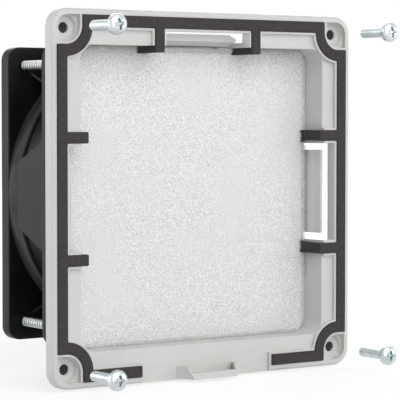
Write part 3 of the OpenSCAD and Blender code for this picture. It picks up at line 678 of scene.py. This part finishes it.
screwForm = {
    # what both kinds share, in mm or as shares: the tip, the thread's ends and its flanks
    "point": 0.55, "tipRound": 0.03, "lead": 0.9, "runOut": 0.3, "root": 0.05,
    "steep": 1.5, "land": 0.25,
    # a slot's wall, the part of its arm that rises to the end, and its floor
    "wallSlope": 0.16, "taper": 0.55, "floor": 1.6,
}
panelScrew = {
    "radius": 2.0, "pitch": 0.7, "depth": 0.12, "around": 96, "rows": 250,
    "headRadius": 4.0, "headHeight": 3.1, "side": 1.25, "rim": 0.2, "rimRows": 6,
    "neck": 0.3, "underEdge": 0.25, "domeRows": 46, "domeWide": 0.72, "domeTall": 1.15,
    "faceRows": 40, "recessSpan": 2.2, "recessWidth": 0.5, "recessDepth": 1.3, "turn": 0.25,
}
fanScrew = {
    "radius": 2.0, "pitch": 1.8, "depth": 0.6, "around": 44, "perPitch": 16,
    "headRadius": 4.1, "headHeight": 2.1, "edge": (0.1, 0.15), "faceRows": 26,
    "recessSpan": 2.1, "recessWidth": 0.5, "recessDepth": 1.3,
}


def threadRadius(y, angle, shape, start, stop):
    # radius less a round-bottomed groove that follows a helix, fading out at both ends
    pitch = shape["pitch"]
    phase = (y / pitch - angle / (2 * np.pi)) % 1.0
    groove = 0.5 + 0.5 * np.cos(2 * np.pi * phase)
    fade = np.clip((y - start) / pitch, 0, 1) * np.clip((stop - y) / pitch, 0, 1)
    cut = np.clip(groove * screwForm["steep"] - screwForm["land"], 0, 1)
    return shape["radius"] - shape["depth"] * fade * cut


def crossDepth(x, z, shape):
    # depth of a cross recess: two tapered slots, deepest in the middle
    span, width = shape["recessSpan"], shape["recessWidth"]

    def slotDepth(a, b):
        wall = np.clip((width - np.abs(b)) / screwForm["wallSlope"] + 0.5, 0, 1)
        end = np.clip((span - np.abs(a)) / (screwForm["taper"] * span), 0, 1)
        return wall * np.minimum(1, end * screwForm["floor"])
    return shape["recessDepth"] * np.maximum(slotDepth(x, z), slotDepth(z, x))


def screwSurface(shape, head, tip, under, rows):
    # the rows of one screw on its own axis, in mm: y grows from the head's front to the tip
    angle = roundAngles(shape["around"])[:, None]
    point = screwForm["point"] * shape["radius"]
    tipR = np.array([axisGap, 0.5 * point, point])
    tipY = np.array([tip, tip, tip - screwForm["tipRound"]])
    lead = screwForm["lead"]
    shankY = np.linspace(tip - lead, under + screwForm["root"], rows)
    shank = threadRadius(shankY, angle, shape, under + lead, tip - screwForm["runOut"])
    headR, headY = head
    r = np.concatenate([np.broadcast_to(tipR, (angle.size, tipR.size)), shank,
                        np.broadcast_to(headR, (angle.size, headR.size))], 1)
    y = np.concatenate([tipY, shankY, headY]) + 0 * angle
    x, z = r * np.cos(angle), r * np.sin(angle)
    face = np.arange(y.shape[1]) >= y.shape[1] - shape["faceRows"]
    y = np.where(face, y + crossDepth(x, z, shape), y)
    return np.stack([x, y, z], -1), gridFaces(angle.size, y.shape[1], wrapU=True)


def panHead(shape, under):
    # pan head: flat underside, round rim, shallow dome in front
    wide, tall, side, rim = (shape[k] for k in ("headRadius", "headHeight", "side", "rim"))
    underR = np.array([shape["radius"] + shape["neck"], wide - shape["underEdge"]])
    rimT = np.linspace(-np.pi / 2, 0, shape["rimRows"])
    rimR, rimY = wide - rim + rim * np.cos(rimT), under - rim - rim * np.sin(rimT)
    domeT = np.linspace(0, np.pi / 2, shape["domeRows"])
    domeR = wide * np.cos(domeT) ** shape["domeWide"]
    domeY = under - side - (tall - side) * np.sin(domeT) ** shape["domeTall"]
    return (np.concatenate([underR, rimR, domeR[:-1], [axisGap]]),
            np.concatenate([[under, under], rimY, domeY[:-1], [under - tall]]))


def flatHead(shape, under):
    # countersunk head: a cone up to a flat front
    wide, front, rows = shape["headRadius"], under - shape["headHeight"], shape["faceRows"]
    inset, edge = shape["edge"]
    return (np.concatenate([[shape["radius"], wide], np.linspace(wide - inset, axisGap, rows)]),
            np.concatenate([[under, front + edge], np.full(rows, front)]))


corners = [(row + "_" + side, row.title() + side.title())
           for row in ("top", "bottom") for side in ("left", "right")]
for corner, word in corners:
    low, high = boxOf("panel_screw_" + corner)
    tipY, underY = high[1] / mm, low[1] / mm + panelScrew["headHeight"]
    points, faces = screwSurface(panelScrew, panHead(panelScrew, underY), tipY, underY,
                                 panelScrew["rows"])
    # each screw stands at a turn of its own, as loose screws do
    points = spun(points, -rng.uniform(0, np.pi / 2) * panelScrew["turn"])
    middle = (low + high) / 2
    points = points * mm + np.array([middle[0], 0, middle[2]])
    screw = makePiece("panelScrew" + word, points, faces, "screw_" + corner, "zinc_plate",
                      sharp=40)
    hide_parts("panel_screw_" + corner)
print("panel screws made")

low, high = boxOf("fan_screws")
fanPitch = (high[0] - low[0]) / 2 - fanScrew["headRadius"] * mm


def atFanCorners(points, faces):
    # one copy at each of the fan's four holes
    return joinParts([(points + np.array([sx * fanPitch, 0, sz * fanPitch]), faces)
                      for sx, sz in ((-1, 1), (1, 1), (-1, -1), (1, -1))])


def makeFanScrews(front, tip):
    under = front + fanScrew["headHeight"]
    rows = int((tip - front) / fanScrew["pitch"] * fanScrew["perPitch"])
    points, faces = screwSurface(fanScrew, flatHead(fanScrew, under), tip, under, rows)
    screws = makePiece("fanScrews", *atFanCorners(points * mm, faces), "housing", "zinc_plate",
                       zincThread, sharp=40)
    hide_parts("fan_screws")


makeFanScrews(low[1] / mm, high[1] / mm)
print("fan screws made")


# Nuts: a hexagon whose corners are cut back by a cone at both faces

nut = {"across": 7.0 * mm, "bore": 2.05 * mm, "around": 72, "rows": 13, "cone": 1.9,
       "coneStart": 0.97, "bevel": (0.25 * mm, 0.3 * mm)}


def makeNuts():
    low, high = boxOf("fan_nuts")
    bottom, height = low[1], high[1] - low[1]
    wide, deep = nut["bevel"]
    angle = roundAngles(nut["around"])[:, None]
    hexR = nut["across"] / 2 / np.cos((angle + np.pi / 6) % (np.pi / 3) - np.pi / 6)
    level = np.linspace(0, 1, nut["rows"]) * height
    cone = nut["across"] / 2 * nut["coneStart"] + nut["cone"] * np.minimum(level, height - level)
    bore = nut["bore"] + 0 * angle
    r = np.concatenate([bore, bore + wide, np.minimum(hexR, cone), bore + wide, bore, bore], 1)
    y = np.concatenate([[deep, 0], level, [height, height - deep, deep]])
    points = polar(r, angle, y + bottom)
    faces = gridFaces(angle.size, r.shape[1], wrapU=True)
    nuts = makePiece("fanNuts", *atFanCorners(points, faces), "housing", "zinc_plate", sharp=30)
    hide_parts("fan_nuts")


makeNuts()
print("nuts made")


# Fan housing: flanges, duct, collar, side pads, corner webs, and the motor's base on four struts

fan = {
    # in mm, apart from counts, turns and shares
    "flange": fanCollar["flange"], "corner": 5.5, "edge": 0.55, "around": 512, "plateRows": 6,
    "bore": 57.0, "wall": 1.7, "ductEdge": 0.3, "ductSunk": 1.0,
    "collar": fanCollar["width"], "collarEdge": 0.45, "collarSunk": (0.6, 0.5),
    "shy": 0.05,  # by which inner pieces stay inside the outline
    "padFront": 22.0, "padRear": 13.4, "padRoot": 0.9, "padRows": 9, "padSunk": (0.3, 0.5),
    "web": 0.9, "webLength": 9.0, "webNose": (0.6, 0.35), "webShort": 4.5,
    "baseRadius": 31.5, "base": 2.5, "baseEdge": 0.8, "baseAround": 128,
    "recess": 0.35, "recessWall": (5.6, 6.0),
    "tubeRadius": 8.35, "tubeBore": 6.55, "tubeFront": 29.7, "tubeAround": 64,
    "strutWidth": 6.0, "strut": 4.0, "strutTurn": 20, "strutSides": 48, "strutSunk": 2.0,
    "square": 0.22,  # power that squares a strut's section
}


def flangePart(half, y0, y1):
    # a plate between the bore's circle and the square outline, every edge rounded
    e, corner, bore = fan["edge"], fan["corner"], fan["bore"]
    angle = roundAngles(fan["around"])
    even = 0 * angle
    span = squareReach(angle, half - e, corner - e) - bore - e
    shares = np.linspace(0, 1, fan["plateRows"])

    def outline(t):
        d = e * (1 - np.sin(t))
        return squareReach(angle, half - d, corner - d)

    def hole(t):
        return bore + e * (1 - np.sin(t)) + even

    def deep(t):
        return e * (1 - np.cos(t)) + even
    rows = [(bore + e + w * span, y0 + even) for w in shares[:-1]]
    rows += [(outline(t), y0 + deep(t)) for t in quarter]
    rows += [(outline(t), y1 - deep(t)) for t in quarter[::-1]]
    rows += [(bore + e + w * span, y1 + even) for w in shares[::-1][1:]]
    rows += [(hole(t), y1 - deep(t)) for t in quarter[1:]]
    rows += [(hole(t), y0 + deep(t)) for t in quarter[::-1][:-1]]
    r, y = (np.stack(column, 1) for column in zip(*rows))
    points = polar(r, angle[:, None], y)
    return points, gridFaces(angle.size, r.shape[1], wrapU=True, wrapV=True)


def ringPart(inner, outer, y0, y1, edge, count=192):
    # a turned ring of rectangular section with rounded edges
    profile = []
    for cr, cy, start in ((outer - edge, y0 + edge, -90), (outer - edge, y1 - edge, 0),
                          (inner + edge, y1 - edge, 90), (inner + edge, y0 + edge, 180)):
        a = quarter + math.radians(start)
        profile.append(np.stack([cr + edge * np.cos(a), cy + edge * np.sin(a)], -1))
    return turned(np.concatenate(profile), count, closed=True)


def barPart(x0, x1, middleY, turn):
    # a strut along a ray, of rounded rectangular section, its ends drawn in to a point
    t, power = roundAngles(fan["strutSides"]), fan["square"]
    z = fan["strutWidth"] / 2 * np.sign(np.cos(t)) * np.abs(np.cos(t)) ** power
    y = fan["strut"] / 2 * np.sign(np.sin(t)) * np.abs(np.sin(t)) ** power
    sections = ((x0, 0.0), (x0, 1.0), ((x0 + x1) / 2, 1.0), (x1, 1.0), (x1, 0.0))
    points = np.stack([np.stack([x + 0 * t, middleY + y * w, z * w], -1) for x, w in sections])
    return spun(points, math.radians(turn)), gridFaces(len(sections), t.size, wrapV=True)


def webPart(r0, r1, fromY, reachY, turn):
    # a triangular web of even thickness between the duct and a flange's corner
    h = fan["web"] / 2
    back, rise = fan["webNose"]
    nose = fromY + rise * np.sign(reachY - fromY)
    flat = np.array([[r0, fromY], [r1, fromY], [r1 - back, nose], [r0, reachY]])
    points = np.stack([np.stack([flat[:, 0], flat[:, 1], h * w + 0 * flat[:, 0]], -1)
                       for w in (-1, 1)])
    faces = np.array([[0, 1, 5, 4], [1, 2, 6, 5], [2, 3, 7, 6], [3, 0, 4, 7],
                      [0, 3, 2, 1], [4, 5, 6, 7]])
    return spun(points, math.radians(turn)), faces


def padPart(half, y0, y1, turn):
    # a flat pad level with the collar, narrower towards it, its long edges rounded
    e, t = fan["edge"], quarter
    rows = []
    for y, reach in ((y0, fan["padFront"]), (y1, fan["padRear"])):
        z = np.concatenate([[reach], reach - e + e * np.cos(t), [0]])
        x = np.concatenate([[fan["padRoot"] * fan["bore"]], half - e + e * np.sin(t), [half]])
        z, x = np.concatenate([z, -z[-2::-1]]), np.concatenate([x, x[-2::-1]])
        rows.append(np.stack([x, y + 0 * x, z], -1))
    points = np.stack([rows[0] + (rows[1] - rows[0]) * w
                       for w in np.linspace(0, 1, fan["padRows"])])
    return spun(points, math.radians(turn)), gridFaces(*points.shape[:2], wrapV=True)


def makeFanHousing():
    low, high = boxOf("fan_housing")
    half, front, end = high[0] / mm, low[1] / mm, high[1] / mm
    gap0, gap1 = front + fan["flange"], end - fan["flange"]
    bore, wall, shy = fan["bore"], fan["wall"], fan["shy"]
    sunk, collarSunk = fan["ductSunk"], fan["collarSunk"]
    collarFront = gap1 - fan["collar"]
    parts = [flangePart(half, front, gap0), flangePart(half, gap1, end),
             ringPart(bore, bore + wall, gap0 - sunk, gap1 + sunk, fan["ductEdge"]),
             ringPart(bore + wall - collarSunk[0], half - shy, collarFront,
                      gap1 + collarSunk[1], fan["collarEdge"])]
    padSunk = fan["padSunk"]
    for turn in (0, 90, 180, 270):
        parts.append(padPart(half - shy, gap0 - padSunk[0], collarFront + padSunk[1], turn))
    root, reach = bore + wall / 2, fanPitch / mm * math.sqrt(2) - fan["webShort"]
    for turn in (45, 135, 225, 315):
        parts.append(webPart(root, reach, gap0 - shy, gap0 + fan["webLength"], turn))
        parts.append(webPart(root, reach, gap1 + shy, gap1 - fan["webLength"], turn))
    radius, baseY, e = fan["baseRadius"], end - fan["base"], fan["baseEdge"]
    rim = [(radius - e + e * math.sin(a), baseY + e - e * math.cos(a)) for a in quarter]
    rim += [(radius - e + e * math.cos(a), end - e + e * math.sin(a)) for a in quarter]
    wallTop, wallFoot = fan["recessWall"]
    floor = end - fan["recess"]
    recess = [(radius - wallTop, end), (radius - wallFoot, floor), (axisGap, floor)]
    plate = np.array([(axisGap, baseY)] + rim + recess)
    parts.append(turned(plate, fan["baseAround"]))
    parts.append(ringPart(fan["tubeBore"], fan["tubeRadius"], fan["tubeFront"],
                          baseY + fan["ductEdge"], fan["ductEdge"], fan["tubeAround"]))
    for turn in range(fan["strutTurn"], 360, 90):
        parts.append(barPart(radius - fan["strutSunk"], root, end - fan["strut"] / 2, turn))
    points, faces = joinParts(parts)
    housing = makePiece("fanHousing", points * mm, faces, "housing", "fan_paint", sharp=42)
    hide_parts("fan_housing")


makeFanHousing()
print("fan housing made")


# Foam lips: the panel seal's slit holes, each shut by two halves that meet at the slit

foamLip = {"hole": 2.1, "root": 0.3, "slit": 0.01, "bulge": 0.75, "pressed": 0.12,
           "around": 24, "steps": 12, "nose": 1.001}


def makeFoamLips():
    low, high = boxOf("panel_seal")
    middle, half = (low[1] + high[1]) / 2, (high[1] - low[1]) / 2
    outer = (foamLip["hole"] + foamLip["root"]) * mm
    # half a turn of a round-nosed section that reaches from the hole's wall to its middle
    t = np.linspace(-np.pi / 2, np.pi / 2, foamLip["steps"])
    a = np.linspace(-np.pi / 2, np.pi / 2, foamLip["around"])[:, None]
    r = outer * (foamLip["nose"] - np.cos(t))
    y = middle + half * foamLip["bulge"] * np.sin(t) + 0 * a
    faces = cappedFaces(a.size, t.size)
    for corner, word in corners:
        low, high = boxOf("panel_screw_" + corner)
        x0, z0 = (low[0] + high[0]) / 2, (low[2] + high[2]) / 2
        for side, label in ((-1, "Left"), (1, "Right")):
            x = x0 + side * (foamLip["slit"] * mm + r * np.cos(a))
            points = np.stack([x, y, z0 + r * np.sin(a)], -1)
            lip = makePiece("sealLip" + word + label, points, faces, "housing", "gasket_foam",
                            sharp=50)
            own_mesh(lip)


makeFoamLips()
print("seal lips made")


# Finger guard: bent wire arms with rings welded on them

guard = {"wire": 0.9 * mm, "step": 8.6 * mm, "reach": 55 * mm, "around": 220, "sides": 14,
         "armRows": 24, "armEnd": 2.1, "loop": 2.3 * mm, "loopStart": -172, "loopTurn": 300,
         "loopRows": 40}


def makeGuard():
    low, high = boxOf("finger_guard")
    wire, step = guard["wire"], guard["step"]
    armY, ringY = low[1] + wire, high[1] - wire
    parts = []
    a = roundAngles(guard["around"])
    for k in range(1, int(guard["reach"] / step) + 1):
        path = polar(k * step, a, ringY)
        parts.append(sweptTube(path, wire, guard["sides"], closed=True))
    loopR = guard["loop"] + wire
    reach = fanPitch * math.sqrt(2)
    # an arm's wire leaves the straight towards one side and goes round the screw
    straight = np.linspace(step - wire, reach - loopR * guard["armEnd"], guard["armRows"])
    start = guard["loopStart"]
    b = np.radians(np.linspace(start, start + guard["loopTurn"], guard["loopRows"]))
    u = np.concatenate([straight, reach + loopR * np.cos(b)])
    v = np.concatenate([0 * straight, loopR * np.sin(b)])
    for turn in np.radians([45, 135, 225, 315]):
        path = spun(np.stack([u, armY + 0 * u, v], -1), -turn)
        parts.append(sweptTube(path, wire, guard["sides"]))
    wires = makePiece("fingerGuard", *joinParts(parts), "housing", "guard_chrome", sharp=0)
    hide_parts("finger_guard")


makeGuard()
print("finger guard made")


# Impeller: a turned hub and lofted blades, with the same sections as the solids but finer

blade = {"count": 7, "span": 22, "chordSteps": 26, "chordHub": 25, "chordTip": 34, "pitchHub": 46,
         "pitchTip": 29, "thick": 2.0, "edge": 0.12, "fullness": 2.5, "nose": 0.25,
         "camber": 0.07, "sweep": 14, "tip": 56.1, "sunk": 0.6}
hub = {"radius": 32.0, "wall": 1.6, "skin": 2.2, "round": 3, "roundRows": 12, "edge": 0.4,
       "fillet": 2, "boss": ((6, 0), (5, 0.6), (4.4, 2.3)), "bore": 2.03, "boreEnd": 1.1,
       "around": 128}


def bladeSurface(hubR, tipR, middleY):
    # sections wrapped on cylinders: arch plus half thickness across the chord, turned by the pitch
    t = np.linspace(0, 1, blade["span"])[:, None]
    u = np.linspace(-np.pi / 2, np.pi * 1.5, 2 * blade["chordSteps"], endpoint=False)
    along = np.sin(u) / 2
    side = np.where(np.cos(u) >= 0, 1.0, -1.0)
    r = hubR + (tipR - hubR) * t
    chord = blade["chordHub"] + (blade["chordTip"] - blade["chordHub"]) * t
    pitch = np.radians(blade["pitchHub"] + (blade["pitchTip"] - blade["pitchHub"]) * np.sqrt(t))
    arch = blade["camber"] * chord * (1 - 4 * along ** 2)
    belly = 1 - (2 * np.abs(along)) ** blade["fullness"]
    half = side * blade["thick"] / 2 * (blade["edge"] + (1 - blade["edge"]) * belly)
    lift = arch + half * np.abs(np.cos(u)) ** blade["nose"]
    around = along * chord * np.cos(pitch) - lift * np.sin(pitch)
    deep = along * chord * np.sin(pitch) + lift * np.cos(pitch)
    angle = np.radians(blade["sweep"]) * t ** 2 + around / r
    return polar(r, angle, middleY + deep)


def hubProfile(nose, end):
    # from the nose's middle over the round rim to the open end, and back inside to the shaft's bore
    radius, e, b = hub["radius"], hub["edge"], hub["round"]
    inner, floor = radius - hub["wall"], nose + hub["skin"]
    outside = [(radius - b + b * math.sin(a), nose + b - b * math.cos(a))
               for a in np.linspace(0, np.pi / 2, hub["roundRows"])]
    boss = [(r, floor + rise) for r, rise in hub["boss"]]
    bore = [(hub["bore"], boss[-1][1]), (hub["bore"], nose + hub["boreEnd"])]
    return np.array([(axisGap, nose)] + outside
                    + [(radius, end - e), (radius - e, end), (inner, end),
                       (inner, floor + hub["fillet"]), (inner - hub["fillet"], floor)]
                    + boss + bore + [(axisGap, nose + hub["boreEnd"])])


def makeImpeller():
    low, high = boxOf("impeller")
    nose, end = low[1] / mm, high[1] / mm
    parts = [turned(hubProfile(nose, end), hub["around"])]
    surface = bladeSurface(hub["radius"] - blade["sunk"], blade["tip"], nose + (end - nose) / 2)
    n, m = surface.shape[:2]
    faces = gridFaces(n, m, wrapV=True)
    # the root and the tip are closed by strips across the section
    k = np.arange(m // 2 - 1)
    strip = np.stack([k, k + 1, m - 2 - k, m - 1 - k], -1)
    faces = np.concatenate([faces, strip, strip[:, ::-1] + (n - 1) * m])
    for turn in np.arange(blade["count"]) * 2 * np.pi / blade["count"]:
        parts.append((spun(surface, turn), faces))
    points, faces = joinParts(parts)
    wheel = makePiece("impellerWheel", points * mm, faces, "rotor", "fan_plastic", sharp=40)
    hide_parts("impeller")


makeImpeller()
print("impeller made")


# Camera, light and floor

view = {"at": (-0.468875, -0.658021, 0.034651), "to": (-0.00454, -0.00529, -0.001704),
        "lens": 179.8, "sensor": 36, "clip": (0.01, 50), "roll": 0.03}
camera = bpy.data.cameras.new("studioCamera")
camera.sensor_width = view["sensor"]
camera.lens = view["lens"]
camera.clip_start, camera.clip_end = view["clip"]
cameraObject = placed("studioCamera", camera)
look = (Vector(view["to"]) - Vector(view["at"])).to_track_quat("-Z", "Y").to_matrix().to_4x4()
roll = Matrix.Rotation(math.radians(view["roll"]), 4, "Z")
cameraObject.matrix_world = Matrix.Translation(view["at"]) @ (look @ roll)
bpy.context.scene.camera = cameraObject

lamps = {
    # name: (place, size, power)
    "keyLamp": ((-0.14, -1.5, 1.15), 1.7, 23),
    "frontLamp": ((-0.4, -1.5, 0.1), 0.9, 4.4),
    "fillLamp": ((1.4, -0.95, 0.12), 0.8, 7.2),
    "sideLamp": ((-1.22, 0.82, 0.25), 0.8, 11.2),
    "rearLamp": ((0.9, 1.4, 0.8), 1.1, 14),
}
for name, (place, size, power) in lamps.items():
    lamp = bpy.data.lights.new(name, "AREA")
    lamp.size, lamp.energy = size, power
    lampObject = placed(name, lamp)
    lampObject.location = place
    lampObject.rotation_mode = "QUATERNION"
    lampObject.rotation_quaternion = (-Vector(place)).to_track_quat("-Z", "Y")

studio = {"sky": 0.2, "floorDrop": 1.0 * mm, "floorSize": 12, "bounce": 0.85, "shadowed": 0.3,
          "glow": 0.76, "nearRing": 0.16, "farRing": 0.55}


def seenDirectly(shader):
    # one for rays from the camera, from a mirror and through glass, else nought
    path = addNode(shader, "LightPath", {}).outputs
    first = mathNode("MAXIMUM", path["Is Camera Ray"], path["Is Glossy Ray"])
    return mathNode("MAXIMUM", first, path["Is Transmission Ray"])


def mixedBySight(output, unseen, seen):
    # one shader for what is seen directly, the other for the light that bounces
    inputs = {"Fac": seenDirectly(unseen), 1: unseen.outputs[0], 2: seen.outputs[0]}
    mix = addNode(unseen, "MixShader", inputs)
    setInputs(unseen.id_data.nodes[output], {"Surface": mix.outputs[0]})


def makeWorld():
    # white for what the camera and the reflections see, an even sky for the light itself
    world = bpy.data.worlds.new("studioWorld")
    world.use_nodes = True
    white = {"Color": (1, 1, 1, 1)}
    sky = addNode(world.node_tree, "Background", {**white, "Strength": studio["sky"]})
    mixedBySight("World Output", sky, addNode(sky, "Background", white))
    bpy.context.scene.world = world


def makeFloor():
    # seen directly it is white that keeps a soft shadow and fades out with distance
    half = studio["floorSize"] / 2
    level = cadLow[2] - studio["floorDrop"]
    mesh = bpy.data.meshes.new("studioFloor")
    square = ((-1, -1), (1, -1), (1, 1), (-1, 1))
    mesh.from_pydata([(half * x, half * y, level) for x, y in square], [], [(0, 1, 2, 3)])
    material, _, place = newMaterial("studioFloor")
    bounce, shadowed = (addNode(place, "BsdfDiffuse", {"Color": (*grey(studio[key]), 1)})
                        for key in ("bounce", "shadowed"))
    length = addNode(place, "VectorMath", {0: place}, operation="LENGTH").outputs["Value"]
    fade = rangeNode(length, studio["glow"], 1.0, studio["nearRing"], studio["farRing"])
    glow = addNode(place, "Emission", {"Strength": fade})
    both = addNode(place, "AddShader", {0: shadowed.outputs[0], 1: glow.outputs[0]})
    mixedBySight("Material Output", bounce, both)
    mesh.materials.append(material)
    floor = placed("studioFloor", mesh)


makeWorld()
makeFloor()
bpy.context.scene.view_settings.view_transform = "Standard"
print("camera, lamps and floor set")
